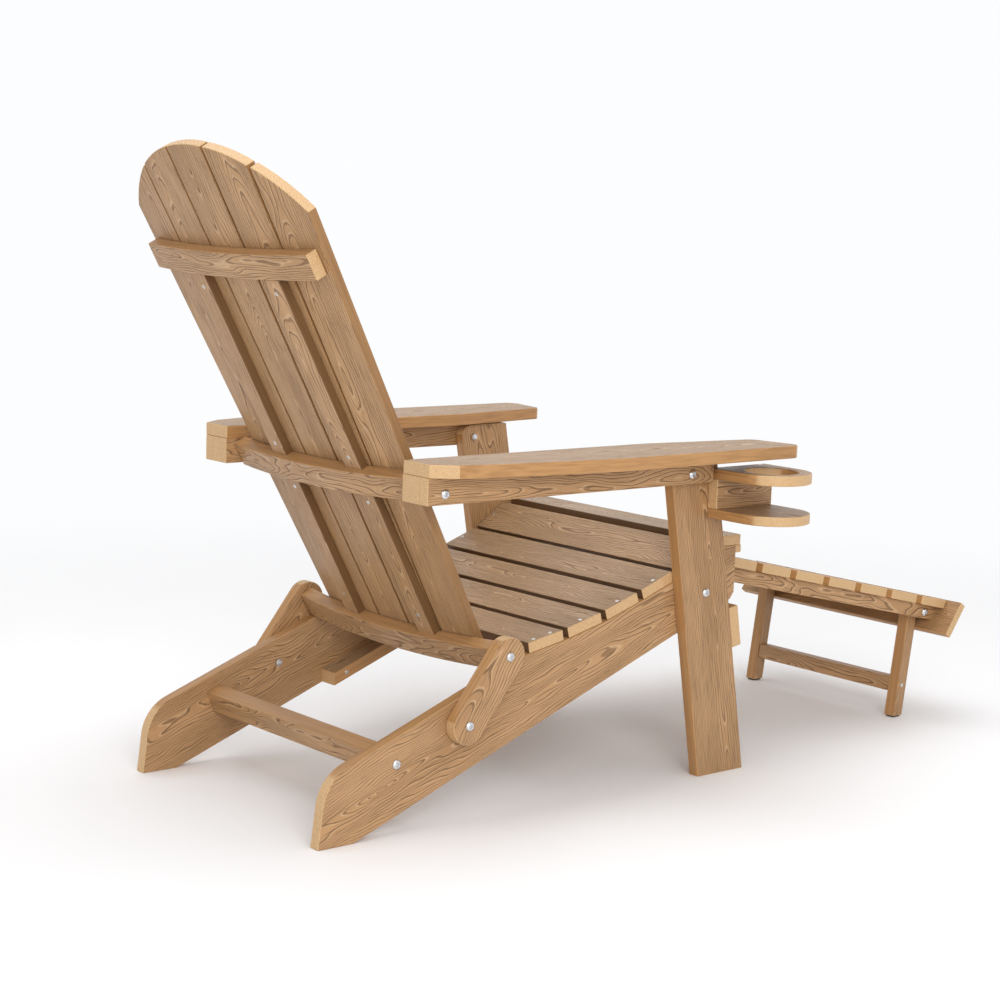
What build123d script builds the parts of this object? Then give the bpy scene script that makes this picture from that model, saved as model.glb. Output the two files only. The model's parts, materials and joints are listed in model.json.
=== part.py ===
from build123d import *
import os
from math import cos, sin, tan, radians, atan2, hypot

# Folding adirondack chair with a pull-out footrest and a cup holder on one front leg.
# Millimetres, +Z up, floor at z = 0. The sitter faces -Y and has +X on the left.
# In the formulas x = 0 is the chair's plane of symmetry; mid_x and mid_y move the finished
# chair so that the origin is the centre of its outer box, on the floor.

os.makedirs("parts", exist_ok=True)

# ---- stock and fits ----
board = 20            # thickness of the frame boards
slat_board = 17       # thickness of the seat slats
ease = 1.5            # rounding of every sawn edge
lane_gap = 0.5        # side gap between boards that turn past each other
play = 0.06           # radial play of a bolt in a hole it turns in
seat_clear = 0.3      # gap under the footrest rails where they lie on the guide rails

# ---- fasteners ----
screw_shank, screw_head, head_sink = 2, 3.5, 1.5
bolt_shank, bolt_head, bolt_rim, bolt_dome = 4, 7.5, 1.5, 3
socket_radius, socket_depth = 2.6, 2.5
nut_radius, nut_height = 6.5, 5
tip_room = 1          # depth of a drilled hole beyond the fastener's tip

# ---- side frames ----
stringer_in = 232     # half the clear width between the two long side boards
slope = 20.7          # rise of the side boards towards the front, degrees
stringer_depth = 112
foot_front, foot_rear = 627, 689
stringer_front = -133
foot_rake = 0.12      # lean of the foot's rear edge
foot_round = 68
toe_cut = 8
leg_width = 100
leg_lean = 10.1
leg_front_face = 50.2  # from the leg pivot to the leg's front edge, square to the leg
leg_top = 525.5
leg_round = 22
leg_pivot_y, leg_pivot_rise = -46, 47.8
arm_pivot_y, arm_pivot_z = 17, 503.5
link_pivot_y, link_pivot_rise = 435.5, 73.5
link_length, link_angle, link_radius = 121, 127.6, 29
crossbar_y, crossbar_rise, crossbar_deep, crossbar_thick = 553.6, 73.2, 36, 27
stretcher_start, stretcher_width = 40.6, 68
guide_in, guide_height, guide_rear, guide_lift = 196, 20, 346, 1

# ---- seat ----
seat_start_y, seat_width, seat_gap = 305, 70, 11
seat_angles = [10.5, 14, 18, 20, 34, 0]
nosing = 13

# ---- arms ----
apron_front, apron_rear = -31, 542
apron_below, apron_height = 15.5, 40
block_front = 432
plate_thick = 20
arm_front, arm_reach = -145, 362
arm_flare, arm_flare_y = 30, 62   # the plate's inner edge turns outwards in front of arm_flare_y
arm_outline = [(294, 541), (319, 506), (331, 460), (345.5, 371), (arm_reach, 230)]
arm_nose_y = -163
arm_round_in, arm_round_out = 18, 20

# ---- cup holder ----
cup_rear, cup_front = -41, -168
cup_top, cup_shelf_top, cup_bottom = 508, 443.5, 428
cup_plate = 16.5
cup_hole = 43
cup_straight = 56     # from the holder's back plate to the centre of the cup hole

# ---- back ----
recline = 61.2
back_slat = 16
brace_bow = 3700      # twice the radius of the curved rails
brace_thick, brace_low, brace_high = 23, -22, 17
rail_out = 6          # from the back pivot to the curved rails' inner face, at the middle
mid_low, mid_high = 279, 319
mid_half, low_half = 231, 250
batten_x, batten_wide, batten_thick = 97, 38, 14
upper_low, upper_high, upper_half, upper_thick = 639, 680, 211, 19
back_foot, back_apex, arch_radius = -20, 843, 290
half_low, half_high, half_low_at, half_high_at = 193, 228.4, 16, 734
slat_gap = 4.5
hug = 0.8             # a flat slat stands this far off the rails' curve
arm_bolt_up, arm_bolt_out = 297, 6.9

# ---- footrest ----
rest_slope = 12.7
rail_in, rail_wide, rail_high, rail_back = 187, 25, 25, 90
rest_slat, rest_pitch, rest_thick, rest_half, rest_count = 71.5, 87.3, 16, 226, 7
rest_last = -2.7
rest_screw_share = 0.68  # where a slat's screws sit across its width
board_foot, board_top, board_thick, board_half = -19.4, 42.5, 14, 256.5
board_at, board_rake = -583.1, 0.42
prop_at, prop_up, prop_round = -558, 12.2, 12
prop_out, prop_wide, prop_lean = 186, 22, 8
glide = 3
brace_at, brace_deep, prop_bar = 59, 26, 20

# ---- worked-out places ----
stringer_out = stringer_in + board
leg_in = stringer_out + lane_gap
leg_out = leg_in + board
apron_in = leg_out + lane_gap
apron_out = apron_in + board
seat_half = stringer_out - 2 * lane_gap
cup_back_out = leg_out + board
cup_centre_x = cup_back_out + cup_straight
cup_radius = (cup_rear - cup_front) / 2
cup_centre_y = (cup_rear + cup_front) / 2
up_slope = tan(radians(slope))


def under(y):
    """Height of the side boards' bottom edge at y."""
    return (foot_front - y) * up_slope


def above(y, rise):
    """The point at y that stands rise above the side boards' bottom edge, square to it."""
    return (y, under(y) + rise / cos(radians(slope)))


def polar(start, angle, length):
    return (start[0] + length * cos(radians(angle)), start[1] + length * sin(radians(angle)))


leg_pivot = above(leg_pivot_y, leg_pivot_rise)
arm_pivot = (arm_pivot_y, arm_pivot_z)
link_pivot = above(link_pivot_y, link_pivot_rise)
back_pivot = polar(link_pivot, link_angle, link_length)
fulcrum = above(stringer_front, guide_lift + guide_height)
apron_low = arm_pivot_z - apron_below
plate_low = apron_low + apron_height


def back_point(up, out):
    """A point of the back's side view: up along the back, out towards the rear."""
    turn = radians(recline)
    return (back_pivot[0] + up * cos(turn) + out * sin(turn),
            back_pivot[1] + up * sin(turn) - out * cos(turn))


def rest_point(along, up):
    """A point of the footrest's side view: along it towards the rear, up from its rails' foot."""
    turn = radians(rest_slope)
    return (fulcrum[0] + along * cos(turn) - up * sin(turn),
            fulcrum[1] + along * sin(turn) + up * cos(turn))


def board_face(up):
    return board_at - board_rake * up


arm_bolt = back_point(arm_bolt_up, arm_bolt_out)
back_top_y = back_point(back_apex, 0)[0]
face_square = hypot(1, board_rake)
rest_nose_y = rest_point(board_face(board_top) - board_thick / face_square,
                         board_top - board_thick * board_rake / face_square)[0]
mid_x = (cup_centre_x + cup_radius - arm_reach) / 2
mid_y = -(back_top_y + rest_nose_y) / 2


# ---- planes ----
def side(x):
    """Side view of the chair at x: its own axes run to the rear and up."""
    return Plane(origin=(mid_x + x, mid_y, 0), x_dir=(0, 1, 0), z_dir=(1, 0, 0))


def level(z):
    return Plane(origin=(mid_x, mid_y, z), x_dir=(1, 0, 0), z_dir=(0, 0, 1))


def across_back(up):
    """Section across the back: its own axes run to +X and to the rear."""
    y, z = back_point(up, 0)
    turn = radians(recline)
    return Plane(origin=(mid_x, mid_y + y, z), x_dir=(1, 0, 0), z_dir=(0, cos(turn), sin(turn)))


def rail_curve(x):
    """How far the curved rails have swung forward at x."""
    return -x * x / brace_bow


def slat_plane(x):
    """The plane of a back slat's rear face, centred at x and turned with the rails' curve."""
    turn, tilt = radians(recline), atan2(-2 * x / brace_bow, 1)
    y, z = back_point(0, rail_out + rail_curve(x) - hug)
    out = (0, sin(turn), -cos(turn))
    across = (cos(tilt), sin(tilt) * out[1], sin(tilt) * out[2])
    face = (sin(tilt), -cos(tilt) * out[1], -cos(tilt) * out[2])
    return Plane(origin=(mid_x + x, mid_y + y, z), x_dir=across, z_dir=face)


# ---- making boards ----
def round_corner(outline, corner, radius):
    fillet(outline.vertices().sort_by_distance((corner[0], corner[1], 0))[0], radius)


def drill(places, turning=0):
    """Cut the room that the fasteners in places need."""
    for point, out, length, shank, head, sink in places:
        with Locations(spot(point, out).location):
            Cylinder(shank + turning, length + tip_room,
                     align=(Align.CENTER, Align.CENTER, Align.MAX), mode=Mode.SUBTRACT)
            if sink:
                Cylinder(head, sink, align=(Align.CENTER, Align.CENTER, Align.MAX),
                         mode=Mode.SUBTRACT)


def cross_board(points, x_from, x_to, rounds=(), screws=(), bolts=(), soft=ease):
    """A board whose side view is points and which runs from x_from to x_to."""
    with BuildPart() as piece:
        with BuildSketch(side(x_from)) as outline:
            with BuildLine():
                Polyline(*points, close=True)
            make_face()
            for corner, radius in rounds:
                round_corner(outline, corner, radius)
        extrude(amount=x_to - x_from)
        if soft:
            fillet(piece.edges(), soft)
        drill(screws)
        drill(bolts, play)
    return piece


def pair(name, points, x_from, x_to, rounds=(), screws=(), bolts=(), soft=ease):
    """The left and the right copy of a side board."""
    left = cross_board(points, x_from, x_to, rounds, screws, bolts, soft)
    right = cross_board(points, -x_to, -x_from, rounds, screws, bolts, soft)
    save(left, name + "_left")
    save(right, name + "_right")


def save(piece, name):
    piece.part.label = name
    export_step(piece.part, "parts/" + name + ".step")


# ---- making fasteners ----
def spot(point, out):
    """The plane under a fastener's head; out points from the wood to the eye."""
    return Plane(origin=(mid_x + point[0], mid_y + point[1], point[2]), z_dir=out)


def screw(x, point, out, length):
    return ((x, point[0], point[1]), out, length, screw_shank, screw_head, head_sink)


def bolt(x, point, length):
    """A bolt along X with its head on the outer side."""
    out = (1 if x > 0 else -1, 0, 0)
    return ((x, point[0], point[1]), out, length, bolt_shank, bolt_head, 0)


def both(maker, x, *rest):
    return [maker(x, *rest), maker(-x, *rest)]


def make_screws(places, name):
    with BuildPart() as screws:
        for point, out, length, shank, head, sink in places:
            with Locations(spot(point, out).location):
                Cylinder(head, sink, align=(Align.CENTER, Align.CENTER, Align.MAX))
                Cylinder(shank, length, align=(Align.CENTER, Align.CENTER, Align.MAX))
    save(screws, name)


def make_bolts(places, nuts, name):
    with BuildPart() as bolts:
        for (point, out, length, shank, head, sink), nut in zip(places, nuts):
            face = spot(point, out)
            with Locations(face.location):
                Cylinder(shank, length, align=(Align.CENTER, Align.CENTER, Align.MAX))
                Cylinder(head, bolt_rim, align=(Align.CENTER, Align.CENTER, Align.MIN))
            with Locations(face.offset(bolt_rim).location):
                Cone(head, head / 2, bolt_dome, align=(Align.CENTER, Align.CENTER, Align.MIN))
            with BuildSketch(face.offset(bolt_rim + bolt_dome)):
                RegularPolygon(socket_radius, 6)
            extrude(amount=-socket_depth, mode=Mode.SUBTRACT)
            if nut:
                with Locations(face.offset(-length).location):
                    Cylinder(nut_radius, nut_height,
                             align=(Align.CENTER, Align.CENTER, Align.MIN))
    save(bolts, name)


# ---- seat line: one facet and one gap after another, from the rear ----
def seat_line():
    facets, start = [], above(seat_start_y, stringer_depth)
    for number, angle in enumerate(seat_angles):
        end = polar(start, 180 - angle, seat_width)
        facets.append((start, end, angle))
        if number + 1 < len(seat_angles):
            turn = (angle + seat_angles[number + 1]) / 2
            start = polar(end, 180 - turn, seat_gap)
    return facets


facets = seat_line()


def facet_point(facet, along, up):
    start, end, angle = facet
    return polar(polar(start, 180 - angle, along), 90 - angle, up)


def facet_out(angle):
    return (0, cos(radians(90 - angle)), sin(radians(90 - angle)))


seat_screw_x = (stringer_in + stringer_out) / 2
seat_screws = []
for number, facet in enumerate(facets):
    places = (18, seat_width - 18) if number == 0 else (seat_width / 2,)
    for along in places:
        top = facet_point(facet, along, slat_board)
        seat_screws += both(screw, seat_screw_x, top, facet_out(facet[2]), 45)

guide_screws = []
for y in (stringer_front + 40, (stringer_front + guide_rear) / 2, guide_rear - 25):
    middle = above(y, guide_lift + guide_height / 2)
    for way in (1, -1):
        guide_screws.append(screw(way * guide_in, middle, (-way, 0, 0), 50))

crossbar_bolts = both(bolt, stringer_out, above(crossbar_y, crossbar_rise), 62)
leg_bolts = both(bolt, leg_out, leg_pivot, 2 * board + lane_gap + seat_clear + nut_height)
link_low_bolts = both(bolt, leg_out, link_pivot, 2 * board + lane_gap + seat_clear + nut_height)
link_high_bolts = both(bolt, leg_out, back_pivot, board + 35)
arm_low_bolts = both(bolt, apron_out, arm_pivot, 2 * board + lane_gap + seat_clear + nut_height)
arm_back_bolts = both(bolt, apron_out, arm_bolt, apron_out - stringer_in - 1)

# ---- long side boards ----
foot_corner_y = (foot_rear - foot_rake * (foot_front * up_slope + stringer_depth
                 / cos(radians(slope)))) / (1 - foot_rake * up_slope)
foot_corner = above(foot_corner_y, stringer_depth)
stringer_line = [(foot_rear, 0), (foot_front, 0),
                 (stringer_front + toe_cut, under(stringer_front + toe_cut)),
                 (stringer_front, under(stringer_front) + toe_cut)]
stringer_line.append((stringer_front, facets[-1][1][1]))
for start, end, angle in reversed(facets):
    if end[0] > stringer_front:
        stringer_line.append(end)
    stringer_line.append(start)
stringer_line.append(foot_corner)
pair("stringer", stringer_line, stringer_in, stringer_out, [(foot_corner, foot_round)],
     seat_screws + guide_screws, crossbar_bolts + leg_bolts + link_low_bolts)

# ---- rear crossbar, guide rails ----
centre = above(crossbar_y, crossbar_rise)
crossbar_line = [polar(polar(centre, 180 - slope, a * crossbar_thick / 2), 90 - slope,
                       b * crossbar_deep / 2) for a, b in ((-1, -1), (1, -1), (1, 1), (-1, 1))]
save(cross_board(crossbar_line, -stringer_in, stringer_in, bolts=crossbar_bolts), "rear_crossbar")

guide_line = [above(stringer_front, guide_lift), above(guide_rear, guide_lift),
              above(guide_rear, guide_lift + guide_height), fulcrum]
pair("guide_rail", guide_line, guide_in, stringer_in, screws=guide_screws, soft=0)

# ---- seat slats ----
for number, facet in enumerate(facets):
    line = [facet_point(facet, along, up) for along, up in
            ((0, 0), (seat_width, 0), (seat_width, slat_board), (0, slat_board))]
    save(cross_board(line, -seat_half, seat_half, screws=seat_screws),
         "seat_slat_" + str(number + 1))
nosing_top = facets[-1][1][1]
nosing_line = [(stringer_front, nosing_top), (stringer_front - nosing, nosing_top),
               (stringer_front - nosing, nosing_top - nosing),
               (stringer_front, nosing_top - nosing)]
save(cross_board(nosing_line, -seat_half, seat_half), "seat_nosing")
make_screws(seat_screws + guide_screws, "seat_screws")
make_bolts(crossbar_bolts, [False] * len(crossbar_bolts), "crossbar_bolts")

# ---- front legs and stretcher ----
lean_tan, lean_cos = tan(radians(leg_lean)), cos(radians(leg_lean))


def leg_front(z):
    return leg_pivot[0] - leg_front_face / lean_cos + (z - leg_pivot[1]) * lean_tan


def leg_rear(z):
    return leg_front(z) + (leg_width + 1.7) / lean_cos


def on_leg(down, out):
    """A point of the leg's side view: down from the pivot, out in front of the front edge."""
    start = polar(leg_pivot, 270 - leg_lean, down)
    return polar(start, 180 - leg_lean, leg_front_face + out)


stretcher_line = [on_leg(stretcher_start + a * stretcher_width, b * board)
                  for a, b in ((0, 0), (1, 0), (1, 1), (0, 1))]
leg_screws = []
lane_middle = (leg_in + leg_out) / 2
front_out = (0, -lean_cos, sin(radians(leg_lean)))
for part_down in (0.25, 0.75):
    face = on_leg(stretcher_start + part_down * stretcher_width, board)
    leg_screws += both(screw, lane_middle, face, front_out, 55)
cup_screws = []
for z in (cup_shelf_top + 12, cup_top - cup_plate - 8):
    cup_screws.append(screw(-leg_in, (leg_front(z) + 14, z), (1, 0, 0), 35))
for y in (cup_rear - 20, cup_front + 20):
    cup_screws.append(screw(-(leg_out + board / 2), (y, cup_top), (0, 0, 1), 40))
    cup_screws.append(screw(-(leg_out + board / 2), (y, cup_bottom), (0, 0, -1), 38))

leg_line = [(leg_rear(0), 0), (leg_front(0), 0), (leg_front(leg_top), leg_top),
            (leg_rear(leg_top), leg_top)]
pair("front_leg", leg_line, leg_in, leg_out, [((leg_rear(leg_top), leg_top), leg_round)],
     leg_screws + cup_screws, leg_bolts + arm_low_bolts)
save(cross_board(stretcher_line, -leg_out, leg_out, screws=leg_screws), "front_stretcher")
make_screws(leg_screws + cup_screws, "front_leg_screws")
make_bolts(leg_bolts, [True] * len(leg_bolts), "leg_pivot_bolts")

# ---- cup holder ----
back_line = [(cup_rear, cup_shelf_top), (cup_rear, cup_top - cup_plate),
             (cup_front, cup_top - cup_plate), (cup_front, cup_shelf_top)]
save(cross_board(back_line, -cup_back_out, -leg_out, screws=cup_screws), "cup_holder_back")


def cup_shelf(z, thick, hole):
    with BuildPart() as shelf:
        with BuildSketch(level(z)):
            with BuildLine():
                Polyline((-cup_centre_x, cup_front), (-leg_out, cup_front),
                         (-leg_out, cup_rear), (-cup_centre_x, cup_rear))
                ThreePointArc((-cup_centre_x, cup_rear),
                              (-cup_centre_x - cup_radius, cup_centre_y),
                              (-cup_centre_x, cup_front))
            make_face()
            if hole:
                with Locations((-cup_centre_x, cup_centre_y)):
                    Circle(hole, mode=Mode.SUBTRACT)
        extrude(amount=thick)
        fillet(shelf.edges(), ease)
        drill(cup_screws)
    return shelf


save(cup_shelf(cup_top - cup_plate, cup_plate, cup_hole), "cup_holder_top")
save(cup_shelf(cup_bottom, cup_shelf_top - cup_bottom, 0), "cup_holder_bottom")

# ---- arms ----
arm_screws = []
for y in (apron_front + 40, (apron_front + block_front) / 2, apron_rear - 40):
    arm_screws += both(screw, (apron_in + apron_out) / 2, (y, apron_low), (0, 0, -1), 54)
arm_screws += both(screw, (stringer_in + leg_in) / 2, (block_front + 25, apron_low),
                   (0, 0, -1), 54)
apron_line = [(apron_front, apron_low), (apron_rear, apron_low), (apron_rear, plate_low),
              (apron_front, plate_low)]
block_line = [(block_front, apron_low), (apron_rear, apron_low), (apron_rear, plate_low),
              (block_front, plate_low)]
pair("arm_apron", apron_line, apron_in, apron_out, screws=arm_screws,
     bolts=arm_low_bolts + arm_back_bolts)
pair("arm_block", block_line, stringer_in + 2 * lane_gap, apron_in, screws=arm_screws,
     bolts=arm_back_bolts)


def arm_plate(way):
    inner = stringer_in + 2 * lane_gap
    front_in = inner + arm_flare
    outline = [(front_in, arm_front), (inner, arm_flare_y), (inner, arm_outline[0][1]),
               *arm_outline, (arm_reach, arm_nose_y)]
    with BuildPart() as plate:
        with BuildSketch(level(plate_low)) as face:
            with BuildLine():
                Polyline(*[(way * x, y) for x, y in outline], close=True)
            make_face()
            round_corner(face, (way * front_in, arm_front), arm_round_in)
            round_corner(face, (way * arm_reach, arm_nose_y), arm_round_out)
        extrude(amount=plate_thick)
        fillet(plate.edges(), ease)
        drill(arm_screws)
    return plate


save(arm_plate(1), "arm_plate_left")
save(arm_plate(-1), "arm_plate_right")
make_screws(arm_screws, "arm_screws")
make_bolts(arm_low_bolts + arm_back_bolts, [True, True, False, False], "arm_bolts")

# ---- link plates ----
def link_plate(x_from, x_to):
    with BuildPart() as plate:
        with BuildSketch(side(x_from)):
            with Locations(Location(((link_pivot[0] + back_pivot[0]) / 2,
                                     (link_pivot[1] + back_pivot[1]) / 2, 0),
                                    (0, 0, link_angle))):
                SlotCenterToCenter(link_length, 2 * link_radius)
        extrude(amount=x_to - x_from)
        fillet(plate.edges(), ease)
        drill(link_low_bolts + link_high_bolts, play)
    return plate


save(link_plate(leg_in, leg_out), "link_plate_left")
save(link_plate(-leg_out, -leg_in), "link_plate_right")
make_bolts(link_low_bolts + link_high_bolts, [True, True, False, False], "link_bolts")


# ---- back slats ----
def half_width(up):
    share = (up - half_low_at) / (half_high_at - half_low_at)
    return half_low + share * (half_high - half_low)


def slat_middle(number):
    return number * 2 / 5 * half_width((mid_low + mid_high) / 2)


def slat_line(number, up):
    """The two side edges of a slat at this height, in its own plane."""
    centre = slat_middle(number)
    left = (2 * number - 1) / 5 * half_width(up) + slat_gap / 2
    right = (2 * number + 1) / 5 * half_width(up) - slat_gap / 2
    return left - centre, right - centre


back_turn = radians(recline)
back_rear = (0, sin(back_turn), -cos(back_turn))
back_fore = (0, -sin(back_turn), cos(back_turn))
back_screws = []
for number in range(-2, 3):
    x = slat_middle(number)
    front_face = rail_out + rail_curve(x) - hug - back_slat
    for up in ((brace_low + brace_high) / 2, (mid_low + mid_high) / 2,
               (upper_low + upper_high) / 2):
        back_screws.append(screw(x, back_point(up, front_face), back_fore, 30))
batten_screws = []
for up in (brace_high + 35, mid_low - 20, mid_high + 20, upper_low - 25):
    out = rail_out + rail_curve(slat_middle(1)) - hug + batten_thick
    out -= 2 * slat_middle(1) / brace_bow * (batten_x - slat_middle(1))
    for way in (1, -1):
        batten_screws.append(screw(way * batten_x, back_point(up, out), back_rear, 24))


def back_board(number):
    top = back_apex + 2
    low_left, low_right = slat_line(number, back_foot)
    top_left, top_right = slat_line(number, top)
    with BuildSketch() as arch:
        with Locations((-slat_middle(number), back_apex - arch_radius)):
            Circle(arch_radius)
            Rectangle(4 * arch_radius, 3 * arch_radius, align=(Align.CENTER, Align.MAX))
    with BuildPart() as slat:
        with BuildSketch(slat_plane(slat_middle(number))):
            with BuildLine():
                Polyline((low_left, back_foot), (low_right, back_foot), (top_right, top),
                         (top_left, top), close=True)
            make_face()
            add(arch.sketch, mode=Mode.INTERSECT)
        extrude(amount=back_slat)
        fillet(slat.edges(), ease)
        drill(back_screws + batten_screws)
    return slat


for number in range(-2, 3):
    save(back_board(number), "back_slat_" + str(number + 3))


# ---- battens behind the slats, in notches of the curved rails ----
def batten(way, grow=0):
    with BuildPart() as strip:
        with BuildSketch(slat_plane(way * slat_middle(1))):
            with Locations((way * (batten_x - slat_middle(1)), (back_foot + upper_low - 3) / 2)):
                Rectangle(batten_wide + 2 * grow, upper_low - 3 - back_foot + 4 * grow)
        extrude(amount=-batten_thick - grow)
        if not grow:
            fillet(strip.edges(), ease)
            drill(back_screws + batten_screws)
    return strip


save(batten(1), "back_batten_left")
save(batten(-1), "back_batten_right")
notches = [batten(way, seat_clear).part for way in (1, -1)]


def curved_rail(low, high, half, thick, bolts=()):
    """A rail bent to the back's curve, from low to high along the back."""
    end = rail_curve(half)
    with BuildPart() as rail:
        with BuildSketch(across_back(low)):
            with BuildLine():
                ThreePointArc((-half, rail_out + end), (0, rail_out), (half, rail_out + end))
                Line((half, rail_out + end), (half, rail_out + thick + end))
                ThreePointArc((half, rail_out + thick + end), (0, rail_out + thick),
                              (-half, rail_out + thick + end))
                Line((-half, rail_out + thick + end), (-half, rail_out + end))
            make_face()
        extrude(amount=high - low)
        fillet(rail.edges(), ease)
        for notch in notches:
            add(notch, mode=Mode.SUBTRACT)
        drill(back_screws)
        drill(bolts, play)
    return rail


save(curved_rail(brace_low, brace_high, low_half, brace_thick, link_high_bolts), "lower_brace")
save(curved_rail(mid_low, mid_high, mid_half, brace_thick), "mid_brace")
save(curved_rail(upper_low, upper_high, upper_half, upper_thick), "upper_batten")
make_screws(back_screws + batten_screws, "back_screws")

# ---- footrest ----
rest_turn = radians(rest_slope)
rest_up = (0, -sin(rest_turn), cos(rest_turn))
slat_starts = [rest_last - rest_slat - number * rest_pitch for number in range(rest_count)]
rail_middle = rail_in + rail_wide / 2
rest_screws = []
for start in slat_starts:
    top = rest_point(start + rest_slat * rest_screw_share, rail_high + rest_thick)
    rest_screws += both(screw, rail_middle, top, rest_up, 34)
nose_out = (0, -cos(rest_turn + atan2(board_rake, 1)), -sin(rest_turn + atan2(board_rake, 1)))
nose_up = rail_high / 2
nose_face = rest_point(board_face(nose_up) - board_thick / face_square,
                       nose_up - board_thick * board_rake / face_square)
rest_screws += both(screw, rail_middle, nose_face, nose_out, 38)
prop_pivot = rest_point(prop_at, prop_up)
prop_bolts = both(bolt, rail_in + rail_wide, prop_pivot, rail_wide + prop_wide - 3)

rail_line = [rest_point(board_face(seat_clear), seat_clear), rest_point(rail_back, seat_clear),
             rest_point(rail_back, rail_high), rest_point(board_face(rail_high), rail_high)]
pair("footrest_rail", rail_line, rail_in, rail_in + rail_wide, screws=rest_screws,
     bolts=prop_bolts)
for number, start in enumerate(slat_starts):
    low = max(start, board_face(rail_high))
    high = max(start, board_face(rail_high + rest_thick))
    line = [rest_point(low, rail_high), rest_point(start + rest_slat, rail_high),
            rest_point(start + rest_slat, rail_high + rest_thick),
            rest_point(high, rail_high + rest_thick)]
    save(cross_board(line, -rest_half, rest_half, screws=rest_screws),
         "footrest_slat_" + str(number + 1))
nose = []
for up in (board_foot, board_top):
    nose.append(rest_point(board_face(up), up))
for up in (board_top, board_foot):
    nose.append(rest_point(board_face(up) - board_thick / face_square,
                           up - board_thick * board_rake / face_square))
save(cross_board(nose, -board_half, board_half, screws=rest_screws), "footrest_front_board")
make_screws(rest_screws, "footrest_screws")

# ---- folding prop under the footrest ----
down_angle = -90 + prop_lean
bar_low, bar_high = brace_at - brace_deep / 2, brace_at + brace_deep / 2


def prop_x(z, side_step):
    """How far back the prop's middle line is at height z, moved by side_step square to it."""
    drop = prop_pivot[1] - z
    return prop_pivot[0] + drop * tan(radians(prop_lean)) + side_step / cos(radians(prop_lean))


head = polar(prop_pivot, down_angle + 180, prop_round)
prop_line = [(prop_x(glide, -prop_round), glide), (prop_x(glide, prop_round), glide),
             polar(head, down_angle + 90, prop_round), polar(head, down_angle - 90, prop_round)]
prop_corners = [(corner, prop_round - 0.5) for corner in prop_line[2:]]
bar_line = [(prop_x(z, step * prop_bar / 2), z)
            for step, z in ((-1, bar_low), (1, bar_low), (1, bar_high), (-1, bar_high))]
prop_screws = both(screw, prop_out, (prop_x(brace_at, 0), brace_at), (1, 0, 0), 45)
prop_screws[1] = (prop_screws[1][0], (-1, 0, 0), *prop_screws[1][2:])
glide_line = [(prop_x(glide, -prop_round + 3), 0), (prop_x(glide, prop_round - 3), 0),
              (prop_x(glide, prop_round - 3), glide), (prop_x(glide, -prop_round + 3), glide)]
pair("footrest_prop", prop_line, prop_out - prop_wide, prop_out, prop_corners, prop_screws,
     prop_bolts)
save(cross_board(bar_line, prop_wide - prop_out, prop_out - prop_wide, screws=prop_screws),
     "footrest_prop_bar")
with BuildPart() as glides:
    for x_from in (prop_out - prop_wide + 3, -prop_out + 3):
        with BuildSketch(side(x_from)):
            with BuildLine():
                Polyline(*glide_line, close=True)
            make_face()
        extrude(amount=prop_wide - 6)
save(glides, "footrest_glides")
with BuildPart() as prop_fasteners:
    for point, out, length, shank, head_radius, sink in prop_bolts:
        with Locations(spot(point, out).location):
            Cylinder(shank, length, align=(Align.CENTER, Align.CENTER, Align.MAX))
            Cylinder(head_radius, bolt_rim, align=(Align.CENTER, Align.CENTER, Align.MIN))
    for point, out, length, shank, head_radius, sink in prop_screws:
        with Locations(spot(point, out).location):
            Cylinder(head_radius, sink, align=(Align.CENTER, Align.CENTER, Align.MAX))
            Cylinder(shank, length, align=(Align.CENTER, Align.CENTER, Align.MAX))
save(prop_fasteners, "footrest_prop_bolts")

print("origin shift", round(mid_x, 2), round(mid_y, 2))
for title, point in (("leg", leg_pivot), ("arm", arm_pivot), ("link", link_pivot),
                     ("back", back_pivot), ("arm bolt", arm_bolt), ("fulcrum", fulcrum),
                     ("prop", prop_pivot)):
    print(title, "pivot", round(point[0] + mid_y, 3), round(point[1], 3))
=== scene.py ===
# %% [markdown]
# A folding adirondack chair in embossed faux wood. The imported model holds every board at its
# real size and place, so this lesson is about finishes: grain that follows each board, bright
# bolts, and the light of a plain studio. Units are metres, +Z is up, the back leans towards +Y
# and the footrest comes out towards -Y.

# %% Load the frame
import json
from math import cos, sin, pi, radians

import bmesh
import bpy
import numpy as np
from mathutils import Matrix, Vector


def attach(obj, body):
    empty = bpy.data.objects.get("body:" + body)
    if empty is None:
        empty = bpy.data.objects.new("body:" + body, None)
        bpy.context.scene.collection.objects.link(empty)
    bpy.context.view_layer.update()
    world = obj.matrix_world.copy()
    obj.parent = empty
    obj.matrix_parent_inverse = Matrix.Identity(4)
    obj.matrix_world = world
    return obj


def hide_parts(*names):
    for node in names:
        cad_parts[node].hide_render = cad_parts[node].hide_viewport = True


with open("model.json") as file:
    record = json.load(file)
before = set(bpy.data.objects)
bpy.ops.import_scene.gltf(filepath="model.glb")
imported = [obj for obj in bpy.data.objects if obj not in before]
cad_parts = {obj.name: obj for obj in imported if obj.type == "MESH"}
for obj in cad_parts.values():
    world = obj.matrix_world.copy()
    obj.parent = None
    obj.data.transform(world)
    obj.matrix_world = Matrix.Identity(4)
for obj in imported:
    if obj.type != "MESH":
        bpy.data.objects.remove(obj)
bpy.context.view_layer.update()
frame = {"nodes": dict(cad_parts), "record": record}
body_of_node = {node: body for body, nodes in frame["record"]["behaviour"]["bodies"].items()
                for node in nodes}
slot_of_node = {part["node"]: part["material_slot"] for part in frame["record"]["subparts"]}

# %% [markdown]
# A board's grain runs along its length. The direction could be typed in for each board, but the
# mesh already knows it: the directions in which a board's surface spreads most and least are
# its length and its thickness. Weighting each triangle by its area keeps small details, such as
# screw holes, from turning the answer.


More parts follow.
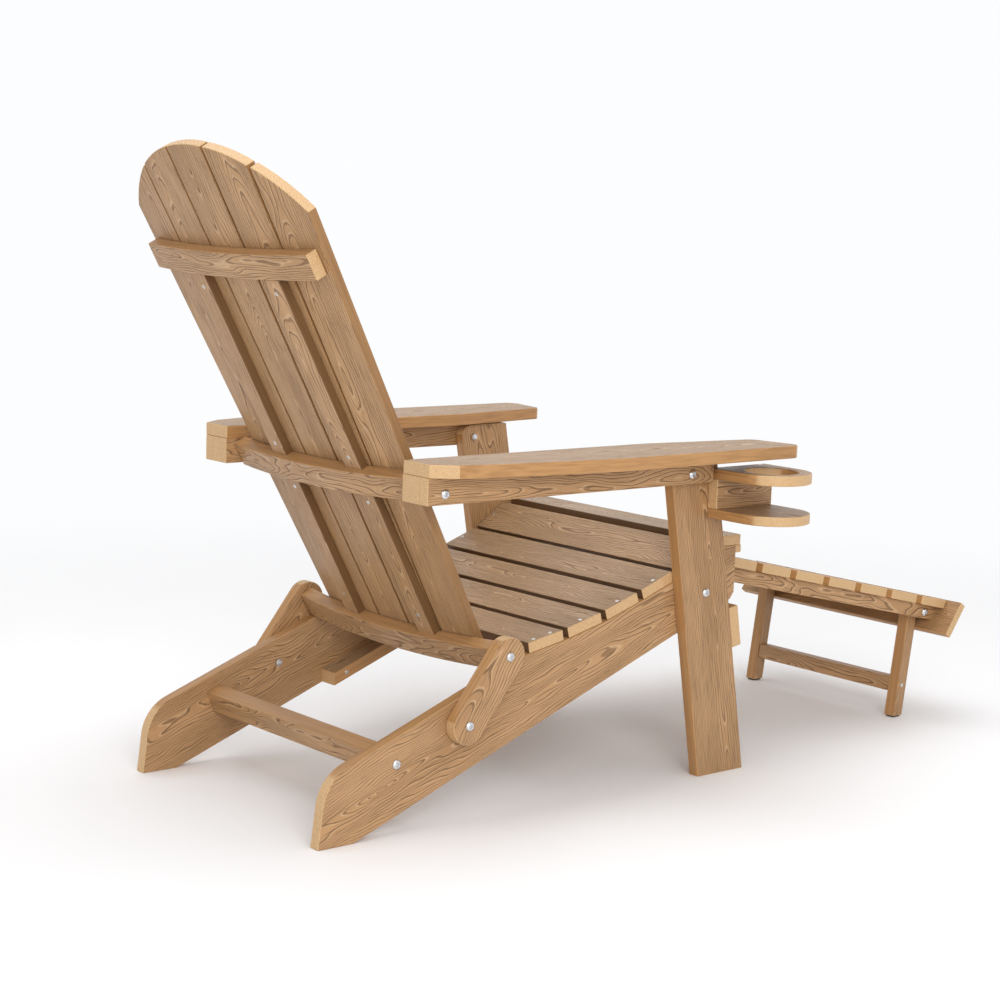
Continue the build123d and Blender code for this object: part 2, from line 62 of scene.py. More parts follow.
# %% Find each board's own directions
def board_axes(obj):
    """The board's centre, and the directions of its length and its width."""
    mesh = obj.data
    points = np.empty(len(mesh.vertices) * 3)
    mesh.vertices.foreach_get("co", points)
    points = points.reshape(-1, 3)
    mesh.calc_loop_triangles()
    corners = np.array([tri.vertices for tri in mesh.loop_triangles])
    a, b, c = points[corners[:, 0]], points[corners[:, 1]], points[corners[:, 2]]
    area = np.linalg.norm(np.cross(b - a, c - a), axis=1)
    middle = (a + b + c) / 3
    centre = (middle * area[:, None]).sum(0) / area.sum()
    spread = middle - centre
    values, vectors = np.linalg.eigh((spread * area[:, None]).T @ spread)
    along, across = vectors[:, 2], vectors[:, 1]
    along = along * np.sign(along[np.abs(along).argmax()])
    across = across * np.sign(across[np.abs(across).argmax()])
    return Vector(centre), Vector(along), Vector(across)


boards = sorted(name for name in frame["nodes"] if slot_of_node[name] == "faux_wood")
board_frames = {name: board_axes(frame["nodes"][name]) for name in boards}
print("boards", len(boards), "and seat_slat_1 runs along",
      [round(part, 2) for part in board_frames["seat_slat_1"][1]])

# %% [markdown]
# Materials here are node trees, and a tree written one node at a time is long to read. A small
# class shortens that: each call adds a node and links what it is given, so that a tree reads
# like a sum. Colours are given as a display shows them and turned into the linear values that
# a shader works with.


# %% Small helpers for node trees
def srgb(red, green, blue):
    """A colour given in 0-255 display values, as the linear colour that a shader wants."""
    return tuple(((v / 255 + 0.055) / 1.055) ** 2.4 for v in (red, green, blue)) + (1.0,)


class Wiring:
    """Adds nodes to a tree, one call each, and links what is passed in."""

    def __init__(self, tree):
        self.tree = tree

    def node(self, kind, inputs=(), **settings):
        made = self.tree.nodes.new(kind)
        for name, value in settings.items():
            setattr(made, name, value)
        for key, value in dict(inputs).items():
            if isinstance(value, bpy.types.NodeSocket):
                self.tree.links.new(value, made.inputs[key])
            else:
                made.inputs[key].default_value = value
        return made

    def math(self, operation, a, b=0.0):
        return self.node("ShaderNodeMath", {0: a, 1: b}, operation=operation).outputs[0]

    def vector(self, operation, a, b):
        made = self.node("ShaderNodeVectorMath", {0: a, 1: b}, operation=operation)
        return made.outputs["Value" if operation == "DOT_PRODUCT" else "Vector"]

    def join(self, x, y, z):
        return self.node("ShaderNodeCombineXYZ", {0: x, 1: y, 2: z}).outputs[0]

    def centred(self, share, width):
        """Turns a share of 0 to 1 into a length from -width / 2 to width / 2."""
        return self.math("MULTIPLY", self.math("SUBTRACT", share, 0.5), width)

    def noise(self, where, scale=1.0, detail=2.0):
        made = self.node("ShaderNodeTexNoise", {"Vector": where, "Scale": scale,
                                                "Detail": detail})
        return made.outputs["Fac"]

    def ramp(self, value, low, high, to_low=0.0, to_high=1.0):
        """Eases from to_low to to_high while value goes from low to high."""
        made = self.node("ShaderNodeMapRange", {"Value": value, "From Min": low,
                                                "From Max": high, "To Min": to_low,
                                                "To Max": to_high},
                         interpolation_type="SMOOTHSTEP")
        return made.outputs["Result"]

    def mix(self, share, a, b, blend="MIX"):
        made = self.node("ShaderNodeMix", data_type="RGBA", blend_type=blend)
        for key, value in ((0, share), (6, a), (7, b)):
            if isinstance(value, bpy.types.NodeSocket):
                self.tree.links.new(value, made.inputs[key])
            else:
                made.inputs[key].default_value = value
        return made.outputs[2]


print("a display value of 128 is", round(srgb(128, 128, 128)[0], 3), "in linear light")

# %% [markdown]
# The finish is one node group that all boards share. A wood figure is what a saw shows of the
# tree's rings. So the group first says where a point lies on its board: along it, across it and
# through it. It then measures the distance from an axis that is tilted and wanders slightly.
# Where the axis leaves the board, lines at equal distances close into the pointed arches called
# cathedral grain. Values that end in ALONG and ACROSS say how fast a noise changes, for each
# metre of the board, and those that end in WIDTH say how far it moves the rings, in metres.


# %% The rings' distance
RING_PITCH = 0.0036       # from one embossed ring line to the next
RING_TILT = 0.042         # how fast the rings' axis leaves the board along its length
RING_DIVE = 0.9           # how fast it does so through the board's thickness
START_TURN, START_SPREAD = 0.618, 0.55       # moves the arches along, board by board
OFFSET_TURN, OFFSET_SPREAD = 0.37, 0.035     # moves them sideways
DRIFT_ALONG, DRIFT_ACROSS, DRIFT_WIDTH = 3.1, 9.0, 0.075
SWAY_ALONG, SWAY_ACROSS, SWAY_WIDTH = 5.0, 16.0, 0.03
SWAY_PHASE = 0.5
WOBBLE_ALONG, WOBBLE_ACROSS, WOBBLE_WIDTH = 8.0, 42.0, 0.02
SWAY_SEED, WOBBLE_SEED = 40.0, 90.0


def place_on_board(w, given, place):
    """A point's distances along, across and through its board, and the through direction."""
    through = w.vector("CROSS_PRODUCT", given["Along"], given["Across"])
    from_centre = w.vector("SUBTRACT", place["Object"], given["Centre"])
    return [w.vector("DOT_PRODUCT", from_centre, way)
            for way in (given["Along"], given["Across"], through)] + [through]


def scattered(w, board, turn, spread):
    """A shift that differs from board to board."""
    return w.centred(w.math("FRACT", w.math("MULTIPLY", board, turn)), spread)


def ring_distance(w, given, x, y, z):
    """How far a point lies from the wandering middle of the rings."""
    board = given["Board"]
    drift = w.noise(w.join(w.math("MULTIPLY", x, DRIFT_ALONG),
                           w.math("MULTIPLY", y, DRIFT_ACROSS), board))
    sway = w.noise(w.join(w.math("MULTIPLY", x, SWAY_ALONG),
                          w.math("ADD", w.math("MULTIPLY", y, SWAY_ACROSS), SWAY_PHASE),
                          w.math("ADD", board, SWAY_SEED)))
    start = scattered(w, board, START_TURN, START_SPREAD)
    depth = w.math("MULTIPLY", w.math("ADD", x, start), RING_TILT)
    depth = w.math("ADD", depth, w.centred(drift, DRIFT_WIDTH))
    depth = w.math("ADD", depth, w.math("MULTIPLY", z, RING_DIVE))
    offset = scattered(w, board, OFFSET_TURN, OFFSET_SPREAD)
    side = w.math("ADD", w.math("ADD", y, offset), w.centred(sway, SWAY_WIDTH))
    reach = w.math("SQRT", w.math("ADD", w.math("MULTIPLY", side, side),
                                  w.math("MULTIPLY", depth, depth)))
    wobble = w.noise(w.join(w.math("MULTIPLY", x, WOBBLE_ALONG),
                            w.math("MULTIPLY", y, WOBBLE_ACROSS),
                            w.math("ADD", board, WOBBLE_SEED)), detail=1.0)
    wobble = w.centred(wobble, WOBBLE_WIDTH)
    return w.math("ADD", reach, w.math("MULTIPLY", wobble, given["Figure"]))


print("rings every", RING_PITCH * 1000, "mm")

# %% [markdown]
# The press leaves a groove at every ring and a bright lip beside it, where the colour coat is
# rubbed thin. Both come from the same wave: the lip is the wave a little later. Short fibres
# break the grooves up, and a few of them show as pores of their own.


# %% Grooves, lips and fibres
CREST_LAG = -1.1          # radians by which the bright lip comes after its groove
LINE_WAVE = (0.62, 0.98)  # the part of the wave that is groove
CREST_WAVE = (0.72, 1.0)
FIBRE_ALONG, FIBRE_ACROSS = 22.0, 420.0
STREAK_ALONG, STREAK_ACROSS = 5.0, 260.0
FIBRE_BREAKS = (0.36, 0.6, 0.6, 1.0)
PORE_FIBRES, PORE_SHARE = (0.58, 0.7), 0.45


def fine_noise(w, x, y, z, along, across):
    """Noise drawn out into fine streaks along the board."""
    return w.noise(w.join(w.math("MULTIPLY", x, along), w.math("MULTIPLY", y, across),
                          w.math("MULTIPLY", z, across)), detail=3.0)


def grooves_and_lips(w, reach, fibre):
    """How much of a groove, and how much of a bright lip, there is at a point."""
    turn = w.math("MULTIPLY", reach, 2 * pi / RING_PITCH)
    line = w.ramp(w.math("SINE", turn), *LINE_WAVE)
    crest = w.ramp(w.math("SINE", w.math("ADD", turn, CREST_LAG)), *CREST_WAVE)
    groove = w.math("MULTIPLY", line, w.ramp(fibre, *FIBRE_BREAKS))
    pores = w.math("MULTIPLY", w.ramp(fibre, *PORE_FIBRES), PORE_SHARE)
    return w.math("MAXIMUM", groove, pores), crest


print("grooves take", LINE_WAVE, "of the wave, lips", CREST_WAVE)

# %% [markdown]
# Only the wide faces are embossed. The long edges are planed smooth and show a warmer colour;
# where a board is given a low edge tone, they are painted mostly dark brown, as painted shade
# for the gaps between boards. The cut ends show speckled filler. So the group looks at the
# surface's direction to tell the three apart. Faces that look up are painted greyer and darker,
# a painted sheen and shade.


# %% Colours, and what they cover
RIDGE = srgb(186, 144, 100)
HEART = srgb(166, 126, 84)
GROOVE = srgb(104, 74, 45)
CREST = srgb(214, 180, 140)
# Painted sheen and shade for faces that look up: greyer and darker than the ridges.
TOP_SHEEN_SHADE = srgb(144, 122, 98)
EDGE = srgb(182, 136, 86)
EDGE_DARK = srgb(164, 120, 73)
# Painted shade for long edges that border the gaps between boards.
GAP_SHADE = srgb(66, 44, 26)
END = srgb(208, 172, 126)
END_DARK = srgb(178, 138, 92)
GROOVE_SHARE, CREST_SHARE = 0.72, 0.42       # how strongly each colours the face
# How much of that painted sheen and shade the wide faces and the edges take.
FACE_SHEEN_SHADE, EDGE_SHEEN_SHADE = 0.55, 0.15
FACE_TURN = (0.8, 0.95)   # how squarely a surface looks out of the wide face
END_TURN = (0.3, 0.45)    # and out of the cut end
UP_TURN = (0.55, 0.95)
PATCH_ALONG, PATCH_ACROSS = 4.0, 22.0
PATCH_RANGE, STREAK_RANGE, SPECK_RANGE = (0.3, 0.7), (0.35, 0.7), (0.4, 0.75)
SPECKS = (900, 900, 900)  # filler grains for each metre


def facing(w, given, normal, through):
    """How much a surface is wide face, how much cut end, and how much it looks up."""
    to_face = w.math("ABSOLUTE", w.vector("DOT_PRODUCT", normal, through))
    to_end = w.math("ABSOLUTE", w.vector("DOT_PRODUCT", normal, given["Along"]))
    up = w.vector("DOT_PRODUCT", normal, (0, 0, 1))
    return w.ramp(to_face, *FACE_TURN), w.ramp(to_end, *END_TURN), w.ramp(up, *UP_TURN)


def face_colour(w, given, x, y, z, groove, crest, upward):
    patch = w.noise(w.join(w.math("MULTIPLY", x, PATCH_ALONG), w.math("MULTIPLY", y, PATCH_ACROSS),
                           w.math("ADD", z, given["Board"])))
    ridge = w.mix(w.ramp(patch, *PATCH_RANGE), HEART, RIDGE)
    # Faces that look up get a painted sheen and shade.
    ridge = w.mix(w.math("MULTIPLY", upward, FACE_SHEEN_SHADE), ridge, TOP_SHEEN_SHADE)
    face = w.mix(w.math("MULTIPLY", crest, CREST_SHARE), ridge, CREST)
    return w.mix(w.math("MULTIPLY", groove, GROOVE_SHARE), face, GROOVE)


def edge_colour(w, given, streak, upward):
    edge = w.mix(w.ramp(streak, *STREAK_RANGE), EDGE, EDGE_DARK)
    # A low edge tone paints the long edge dark brown, as painted shade for the gap beside it.
    edge = w.mix(given["Edge Tone"], GAP_SHADE, edge)
    # Edges that look up get a little of the same painted sheen and shade.
    return w.mix(w.math("MULTIPLY", upward, EDGE_SHEEN_SHADE), edge, TOP_SHEEN_SHADE)


def end_colour(w, point):
    speck = w.noise(w.vector("MULTIPLY", point, SPECKS), detail=1.0)
    return w.mix(w.ramp(speck, *SPECK_RANGE), END, END_DARK)


print("the ridge colour in linear light", [round(part, 3) for part in RIDGE[:3]])

# %% [markdown]
# The parts come together in one group with named inputs. Grooves are a little rougher than the
# ridges, and they are the only deep part of the relief: the streaks are about an eighth of it.


# %% The shared grain group
FIBRE_ROUGHNESS = (0.3, 0.7, 0.34, 0.46)     # from smooth to rough as the fibres thicken
GROOVE_ROUGHNESS = 0.15
STREAK_RELIEF = 0.12


def grain_group():
    tree = bpy.data.node_groups.new("embossed_grain", "ShaderNodeTree")
    for name, kind in (("Centre", "Vector"), ("Along", "Vector"), ("Across", "Vector"),
                       ("Board", "Float"), ("Figure", "Float"), ("Edge Tone", "Float")):
        tree.interface.new_socket(name, in_out="INPUT", socket_type="NodeSocket" + kind)
    for name, kind in (("Color", "Color"), ("Roughness", "Float"), ("Height", "Float")):
        tree.interface.new_socket(name, in_out="OUTPUT", socket_type="NodeSocket" + kind)
    w = Wiring(tree)
    given = w.node("NodeGroupInput").outputs
    place = w.node("ShaderNodeTexCoord").outputs
    x, y, z, through = place_on_board(w, given, place)
    reach = ring_distance(w, given, x, y, z)
    fibre = fine_noise(w, x, y, z, FIBRE_ALONG, FIBRE_ACROSS)
    streak = fine_noise(w, x, y, z, STREAK_ALONG, STREAK_ACROSS)
    groove, crest = grooves_and_lips(w, reach, fibre)
    on_face, on_end, upward = facing(w, given, place["Normal"], through)

    face = face_colour(w, given, x, y, z, groove, crest, upward)
    edge = edge_colour(w, given, streak, upward)
    end = end_colour(w, place["Object"])
    color = w.mix(on_end, w.mix(on_face, edge, face), end)
    rough = w.math("ADD", w.ramp(fibre, *FIBRE_ROUGHNESS),
                   w.math("MULTIPLY", groove, GROOVE_ROUGHNESS))
    height = w.math("MULTIPLY", w.math("MULTIPLY", groove, on_face), -1.0)
    height = w.math("ADD", height, w.centred(streak, STREAK_RELIEF))
    out = w.node("NodeGroupOutput")
    for name, value in (("Color", color), ("Roughness", rough), ("Height", height)):
        tree.links.new(value, out.inputs[name])
    return tree


grain = grain_group()
print("grain group with", len(grain.nodes), "nodes")

# %% [markdown]
# Each board gets its own material, because the group needs that board's directions and a number
# that moves the rings, so that no two boards show the same figure. Some boards are cut where the
# rings run straight, so their figure is calmer. The long edges of the slats and battens are
# painted darker than those of the frame, a painted shade that makes each gap between slats read
# as a dark line.


# %% Give every board its grain
GROOVE_DEPTH = 0.0011
GROOVE_STRENGTH = 0.9
STRAIGHT = ("back_slat", "back_batten", "front_leg", "footrest_prop", "arm_plate", "link")
STRAIGHT_FIGURE = 0.35    # how lively a straight board's rings are, against 1 for the others
# Edge tones below 1 darken the long edges with painted shade, so that the gaps read dark.
EDGE_SHADE_TONES = {"seat_slat": 0.2, "back_batten": 0.3, "back_slat": 0.65}
VARNISH_IOR = 1.46
BOARD_STEP = 1.7          # from one board's number to the next
FIRST_BOARD = 0.3


def fresh_material(name):
    made = bpy.data.materials.new(name)
    made.use_nodes = True
    made.node_tree.nodes.clear()
    return made, Wiring(made.node_tree)


def board_material(name, number):
    made, w = fresh_material("wood_" + name)
    figure = STRAIGHT_FIGURE if name.startswith(STRAIGHT) else 1.0
    tone = next((tone for kind, tone in EDGE_SHADE_TONES.items() if name.startswith(kind)), 1.0)
    centre, along, across = board_frames[name]
    group = w.node("ShaderNodeGroup", node_tree=grain)
    for key, value in (("Centre", centre), ("Along", along), ("Across", across),
                       ("Board", number * BOARD_STEP + FIRST_BOARD), ("Figure", figure),
                       ("Edge Tone", tone)):
        group.inputs[key].default_value = value
    bump = w.node("ShaderNodeBump", {"Strength": GROOVE_STRENGTH, "Distance": GROOVE_DEPTH,
                                     "Height": group.outputs["Height"]})
    shader = w.node("ShaderNodeBsdfPrincipled",
                    {"Base Color": group.outputs["Color"], "IOR": VARNISH_IOR,
                     "Roughness": group.outputs["Roughness"], "Normal": bump.outputs[0]})
    w.node("ShaderNodeOutputMaterial", {"Surface": shader.outputs[0]})
    return made


def dress(obj, material):
    obj.data.materials.clear()
    obj.data.materials.append(material)


for number, name in enumerate(boards):
    dress(frame["nodes"][name], board_material(name, number))
print("boards dressed", len(boards), "of them straight",
      sum(name.startswith(STRAIGHT) for name in boards))

# %% [markdown]
# The metal is plain: bright stainless for the bolts, plated steel for the screws, and dark soft
# plastic for the glides. A single flat colour would look like paint, so one noise gives each of
# them fine marks, in its colour, its roughness and its surface.


# %% Metal and plastic
MARK_DETAIL = 4.0
MARK_ROUGHNESS = 0.12     # how much rougher the marks are than the polish between them
MARK_STRENGTH = 0.15
MARK_DEPTH = 0.0001


def plain_material(name, dark, light, scale, metallic, roughness):
    made, w = fresh_material(name)
    place = w.node("ShaderNodeTexCoord").outputs["Object"]
    marks = w.noise(place, scale, MARK_DETAIL)
    shader = w.node("ShaderNodeBsdfPrincipled",
                    {"Base Color": w.mix(marks, dark, light), "Metallic": metallic,
                     "Roughness": w.ramp(marks, 0.3, 0.7, roughness,
                                         roughness + MARK_ROUGHNESS)})
    bump = w.node("ShaderNodeBump", {"Strength": MARK_STRENGTH, "Distance": MARK_DEPTH,
                                     "Height": marks})
    w.tree.links.new(bump.outputs[0], shader.inputs["Normal"])
    w.node("ShaderNodeOutputMaterial", {"Surface": shader.outputs[0]})
    return made


stainless = plain_material("stainless_bolt", srgb(190, 190, 192), srgb(232, 232, 234),
                           scale=900, metallic=1.0, roughness=0.16)
plated = plain_material("plated_screw", srgb(196, 194, 190), srgb(228, 226, 222),
                        scale=1200, metallic=1.0, roughness=0.24)
soft_black = plain_material("glide_plastic", srgb(24, 22, 20), srgb(44, 40, 37),
                            scale=700, metallic=0.0, roughness=0.5)
dress(frame["nodes"]["footrest_glides"], soft_black)
print("plain finishes", [made.name for made in (stainless, plated, soft_black)])

# %% [markdown]
# A fastener shows only its head, and many fasteners share each head. So one head of each kind
# is turned as a stack of rings, as a lathe would cut it, with the last rings pulled to the shape
# of the driver's recess: a hexagon in the bolts, a cross in the screws. Sizes are the real ones,
# in millimetres, and are scaled once.


# %% Turn one head of each kind
HEAD_STEPS = 24


def round_at(radius):
    return lambda step: radius


def hexagon(radius):
    """Distance from the middle to the side of a hexagon, at each step round it."""
    return lambda step: radius / cos(radians((step * 360 / HEAD_STEPS) % 60 - 30))


def cross(arm, notch):
    """The outline of a cross-head recess: three steps on each arm, three in each notch."""
    return lambda step: arm if step % 6 in (0, 1, 5) else notch


def turned(name, rings):
    """A closed head from rings of (radius at a step, height), from its seat upwards."""
    build = bmesh.new()
    loops = []
    for radius, height in rings:
        loop = []
        for step in range(HEAD_STEPS):
            turn = 2 * pi * step / HEAD_STEPS
            loop.append(build.verts.new((radius(step) * cos(turn), radius(step) * sin(turn),
                                         height)))
        loops.append(loop)
    for lower, upper in zip(loops, loops[1:]):
        for step in range(HEAD_STEPS):
            after = (step + 1) % HEAD_STEPS
            build.faces.new((lower[step], lower[after], upper[after], upper[step]))
    build.faces.new(list(reversed(loops[0])))
    build.faces.new(loops[-1])
    mesh = bpy.data.meshes.new(name)
    build.to_mesh(mesh)
    build.free()
    made = bpy.data.objects.new(name, mesh)
    bpy.context.scene.collection.objects.link(made)
    return made


print("a head has", HEAD_STEPS, "steps round it")


# %% The rings of each head
mm = 0.001
BOLT_DOME = ((7.5, 0), (7.5, 0.9), (7.25, 1.5), (6.7, 2.3), (5.8, 3.1), (4.7, 3.7), (3.9, 4.0),
             (3.5, 4.05))
SCREW_CONE = ((1.9, -1.45), (3.45, -0.35), (3.5, 0.02), (3.3, 0.18), (2.7, 0.3))
NUT_FLATS = ((5.2, 0), (5.62, 0.4), (5.62, 3.2), (5.1, 3.8))
NUT_CAP = ((4.6, 3.9), (4.2, 4.5), (2.8, 4.95))


def stack(outline, sizes):
    """Rings of one outline, from (radius, height) pairs in millimetres."""
    return [(outline(radius * mm), height * mm) for radius, height in sizes]


bolt_rings = stack(round_at, BOLT_DOME)
bolt_rings += [(hexagon(3.1 * mm), 3.9 * mm), (hexagon(3.0 * mm), 1.2 * mm)]
screw_rings = stack(round_at, SCREW_CONE)
screw_rings += [(cross(2.1 * mm, 0.8 * mm), 0.3 * mm), (cross(1.7 * mm, 0.55 * mm), -0.9 * mm)]
nut_rings = stack(hexagon, NUT_FLATS) + stack(round_at, NUT_CAP)
patterns = {"bolt": turned("bolt_pattern", bolt_rings),
            "screw": turned("screw_pattern", screw_rings),
            "nut": turned("nut_pattern", nut_rings)}
print("faces of one head", {kind: len(head.data.polygons) for kind, head in patterns.items()})

# %% [markdown]
# The places of the heads could be typed in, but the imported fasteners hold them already. Each
# node of bolts or screws is one mesh of separate solids, so it is taken apart first. A solid is
# long in one direction, which is its axis, and the wider end is its head. A bolt's other end is
# as wide as a nut only where it has one.


# %% Read where the fasteners sit
END_REACH = 5 * mm        # how far from an end a fastener is measured
SHANK_LIMIT = 5 * mm      # a head wider than this is a bolt's, a foot wider than this has a nut
BOLT_FLANGE = 7.2 * mm    # only a bolt's head is this wide
NUT_HEIGHT = 5 * mm
MERGE = 1e-6


def loose_pieces(obj):
    """The points of each separate solid in a node's mesh, sorted, so that no run differs."""
    build = bmesh.new()
    build.from_mesh(obj.data)
    bmesh.ops.remove_doubles(build, verts=build.verts, dist=MERGE)
    unseen, pieces = set(build.verts), []
    while unseen:
        todo, piece = [unseen.pop()], []
        while todo:
            vert = todo.pop()
            piece.append(tuple(vert.co))
            for edge in vert.link_edges:
                other = edge.other_vert(vert)
                if other in unseen:
                    unseen.remove(other)
                    todo.append(other)
        pieces.append(np.array(sorted(piece)))
    build.free()
    return sorted(pieces, key=lambda piece: tuple(piece.mean(0).round(5)))


def read_fastener(points):
    """Kind, seat and outward direction of the head, and of the nut where there is one."""
    low, high = points.min(0), points.max(0)
    centre = (low + high) / 2
    axis = np.linalg.svd(points - points.mean(0), full_matrices=False)[2][0]
    place = (points - centre) @ axis
    radius = np.linalg.norm(points - centre - np.outer(place, axis), axis=1)
    near_top = radius[place > place.max() - END_REACH].max()
    near_foot = radius[place < place.min() + END_REACH].max()
    if near_foot > near_top:
        axis, place, near_top, near_foot = -axis, -place, near_foot, near_top
    if near_top < SHANK_LIMIT:
        return [("screw", centre + axis * place.max(), axis)]
    seat = place[radius > BOLT_FLANGE].min()
    found = [("bolt", centre + axis * seat, axis)]
    if near_foot > SHANK_LIMIT:
        found.append(("nut", centre + axis * (place.min() + NUT_HEIGHT), -axis))
    return found


fastener_nodes = sorted(name for name in frame["nodes"] if name.endswith(("bolts", "screws")))
print("nodes of fasteners", fastener_nodes)

# %% [markdown]
# Copying a head by hand for each place would hide the rule, which is simple: one head at each
# point, turned to face outwards. A Geometry Nodes tree says just that. Each point carries its
# outward direction as an attribute, and the tree's inputs are the places, the head, its size and
# its finish. The copies become real faces at the end of the tree, because the saved model holds
# no instances.


# %% The tree that sets one head at each place
def fastener_tree():
    tree = bpy.data.node_groups.new("set_fasteners", "GeometryNodeTree")
    for name, kind in (("Places", "Geometry"), ("Head", "Object"), ("Size", "Float"),
                       ("Finish", "Material")):
        tree.interface.new_socket(name, in_out="INPUT", socket_type="NodeSocket" + kind)
    tree.interface.new_socket("Heads", in_out="OUTPUT", socket_type="NodeSocketGeometry")
    w = Wiring(tree)
    given = w.node("NodeGroupInput").outputs
    head = w.node("GeometryNodeObjectInfo", {"Object": given["Head"]}).outputs["Geometry"]
    outward = w.node("GeometryNodeInputNamedAttribute", {"Name": "outward"},
                     data_type="FLOAT_VECTOR").outputs["Attribute"]
    turn = w.node("FunctionNodeAlignRotationToVector", {"Vector": outward}, axis="Z").outputs[0]
    spread = w.node("GeometryNodeInstanceOnPoints",
                    {"Points": given["Places"], "Instance": head, "Rotation": turn,
                     "Scale": given["Size"]}).outputs[0]
    real = w.node("GeometryNodeRealizeInstances", {"Geometry": spread}).outputs[0]
    done = w.node("GeometryNodeSetMaterial", {"Geometry": real, "Material": given["Finish"]})
    out = w.node("NodeGroupOutput")
    tree.links.new(done.outputs[0], out.inputs["Heads"])
    return tree


set_fasteners = fastener_tree()
print("fastener tree with", len(set_fasteners.nodes), "nodes")

# %% [markdown]
# A tree runs as a modifier, and an input is set by its socket's identifier. The evaluated result
# is copied into a plain mesh. The heads of one kind in one node become one piece, which moves
# with the body that the fasteners hold to, and the imported node is hidden.


# %% Set the heads
CREASE = radians(32)      # edges sharper than this stay crisp


def grown(name, tree, points_mesh, values):
    """Runs a tree over a mesh and returns the plain result as a new object."""
    source = bpy.data.objects.new(name + "_source", points_mesh)
    bpy.context.scene.collection.objects.link(source)
    modifier = source.modifiers.new("grow", "NODES")
    modifier.node_group = tree
    for item in tree.interface.items_tree:
        if item.in_out == "INPUT" and item.name in values:
            modifier[item.identifier] = values[item.name]
    bpy.context.view_layer.update()
    seen = source.evaluated_get(bpy.context.evaluated_depsgraph_get())
    mesh = bpy.data.meshes.new_from_object(seen)
    bpy.data.objects.remove(source)
    made = bpy.data.objects.new(name, mesh)
    bpy.context.scene.collection.objects.link(made)
    return made


def set_heads(node, kind, found):
    points = bpy.data.meshes.new(node + "_places")
    points.from_pydata([tuple(place) for _, place, _ in found], [], [])
    outward = points.attributes.new("outward", "FLOAT_VECTOR", "POINT")
    outward.data.foreach_set("vector", np.array([out for _, _, out in found]).ravel())
    finish = plated if kind == "screw" else stainless
    piece = grown(node + "_" + kind + "_heads", set_fasteners, points,
                  {"Head": patterns[kind], "Size": 1.0, "Finish": finish})
    piece.data.shade_smooth()
    piece.data.set_sharp_from_angle(angle=CREASE)
    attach(piece, body_of_node[node])
    return piece


for node in fastener_nodes:
    found = [one for piece in loose_pieces(frame["nodes"][node]) for one in read_fastener(piece)]
    for kind in ("bolt", "screw", "nut"):
        chosen = [one for one in found if one[0] == kind]
        if chosen:
            set_heads(node, kind, chosen)
    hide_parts(node)
for pattern in patterns.values():
    bpy.data.objects.remove(pattern)

# %% [markdown]
# The studio is a pale floor under soft light. A floor that simply ended would show a horizon, so
# away from the chair it turns into the colour of the surround.

# %% Floor
FLOOR_REACH = 60.0
BACKDROP = (0.98, 0.985, 0.995, 1)
FLOOR_DARK, FLOOR_LIGHT = (0.93, 0.93, 0.94, 1), (0.96, 0.96, 0.97, 1)
FADE_START, FADE_END = 0.9, 2.8              # where the floor turns into the surround
floor_mesh = bpy.data.meshes.new("floor")
floor_mesh.from_pydata([(-FLOOR_REACH, -FLOOR_REACH, 0), (FLOOR_REACH, -FLOOR_REACH, 0),
                        (FLOOR_REACH, FLOOR_REACH, 0), (-FLOOR_REACH, FLOOR_REACH, 0)],
                       [], [(0, 1, 2, 3)])
floor = bpy.data.objects.new("floor", floor_mesh)
bpy.context.scene.collection.objects.link(floor)
pale, w = fresh_material("studio_floor")
where = w.node("ShaderNodeTexCoord").outputs["Object"]
cloud = w.noise(where, 3.0)
paint = w.node("ShaderNodeBsdfPrincipled", {"Base Color": w.mix(cloud, FLOOR_DARK, FLOOR_LIGHT),
                                            "Roughness": 0.7})
glow = w.node("ShaderNodeEmission", {"Color": BACKDROP, "Strength": 1.0})
from_chair = w.node("ShaderNodeVectorMath", {0: where}, operation="LENGTH").outputs["Value"]
blend = w.node("ShaderNodeMixShader", {0: w.ramp(from_chair, FADE_START, FADE_END),
                                       1: paint.outputs[0], 2: glow.outputs[0]})
w.node("ShaderNodeOutputMaterial", {"Surface": blend.outputs[0]})
dress(floor, pale)
print("the floor fades from", FADE_START, "to", FADE_END, "m")

# %% [markdown]
# The surround lights the chair with less than it shows to the eye: with its full strength, the
# gaps between boards would glow. A Light Path node tells the two uses apart. Over it, one wide
# lamp makes faces that look up read pale, and a second one at the side shapes the boards.

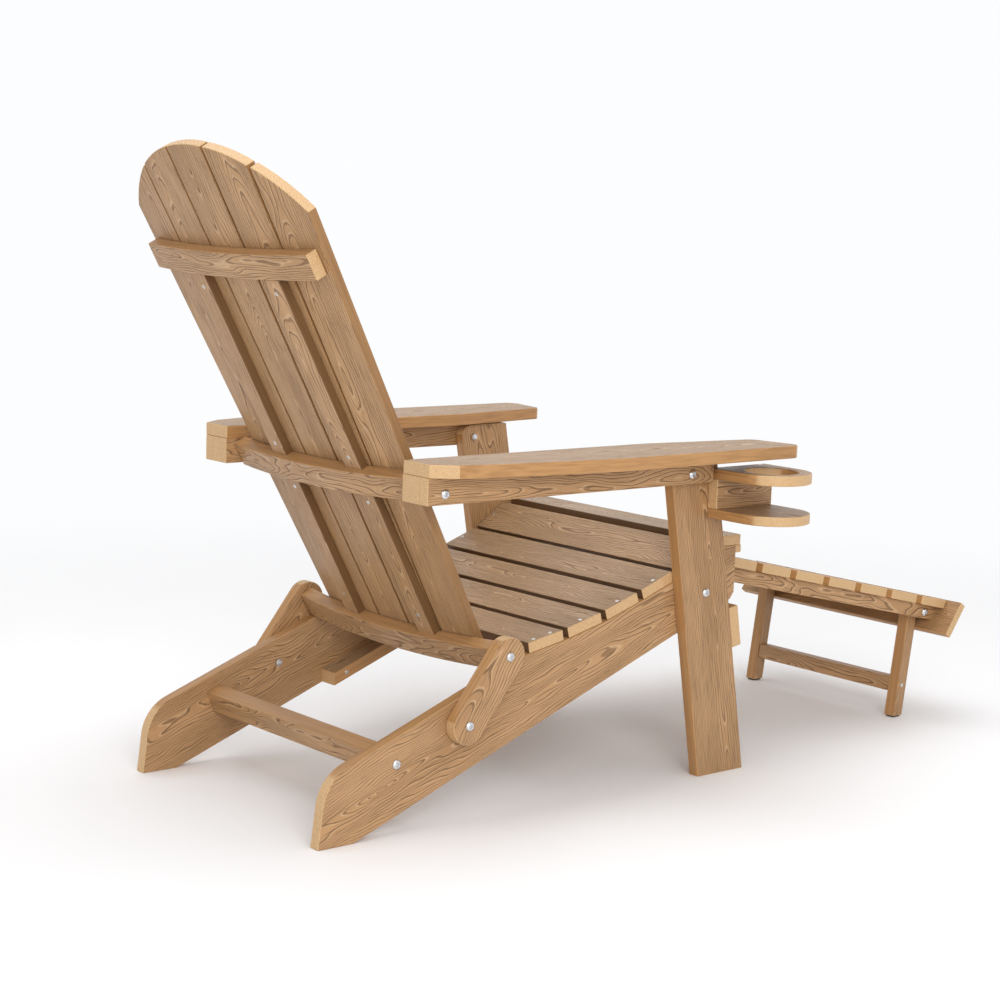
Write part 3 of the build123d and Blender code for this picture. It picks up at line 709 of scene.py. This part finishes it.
# %% Surround and lamps
AMBIENT = 0.6
world = bpy.data.worlds.new("studio")
world.use_nodes = True
world.node_tree.nodes.clear()
w = Wiring(world.node_tree)
rays = w.node("ShaderNodeLightPath").outputs
seen = w.math("MAXIMUM", rays["Is Camera Ray"], rays["Is Glossy Ray"])
ambient = w.node("ShaderNodeBackground", {"Color": (1.0, 1.0, 1.0, 1), "Strength": AMBIENT})
backdrop = w.node("ShaderNodeBackground", {"Color": BACKDROP, "Strength": 1.0})
both = w.node("ShaderNodeMixShader", {0: seen, 1: ambient.outputs[0], 2: backdrop.outputs[0]})
w.node("ShaderNodeOutputWorld", {"Surface": both.outputs[0]})
bpy.context.scene.world = world


def soft_light(name, place, aim, size, power):
    data = bpy.data.lights.new(name, "AREA")
    data.shape = "RECTANGLE"
    data.size, data.size_y = size
    data.energy = power
    made = bpy.data.objects.new(name, data)
    made.location = place
    made.rotation_euler = (Vector(aim) - Vector(place)).to_track_quat("-Z", "Y").to_euler()
    bpy.context.scene.collection.objects.link(made)
    print(name, "lamp of", power, "W")


soft_light("overhead", place=(0.2, 0.2, 3.2), aim=(0, 0, 0.3), size=(3.0, 3.0), power=54)
soft_light("window", place=(-3.5, 2.2, 1.9), aim=(0, 0, 0.45), size=(2.2, 2.0), power=85)
bpy.context.scene.view_settings.view_transform = "Standard"

# %% [markdown]
# The camera stands behind the chair, on the side of the sitter's right hand, and looks down on
# it a little. Its aim is given as three angles, as on a tripod head: the heading, the tilt and a
# slight roll. The three directions that they make are the columns of its matrix.

# %% Camera
STANDS_AT = (-2.590, 2.344, 0.923)
LENS, FILM_WIDTH = 76.02, 36                 # millimetres
heading, down_tilt, roll = radians(-40.01), radians(8.15), radians(-1.88)
look = Vector((cos(heading) * cos(down_tilt), sin(heading) * cos(down_tilt), -sin(down_tilt)))
level_right = Vector((sin(heading), -cos(heading), 0))
below = look.cross(level_right)
right = cos(roll) * level_right + sin(roll) * below
down = -sin(roll) * level_right + cos(roll) * below
camera_data = bpy.data.cameras.new("camera")
camera_data.lens = LENS
camera_data.sensor_width = FILM_WIDTH
camera = bpy.data.objects.new("camera", camera_data)
turned_to = Matrix((right, -down, -look)).transposed().to_4x4()
camera.matrix_world = Matrix.Translation(STANDS_AT) @ turned_to
bpy.context.scene.collection.objects.link(camera)
bpy.context.scene.camera = camera
print("camera", round(Vector(STANDS_AT).length, 2), "m from the middle of the floor")
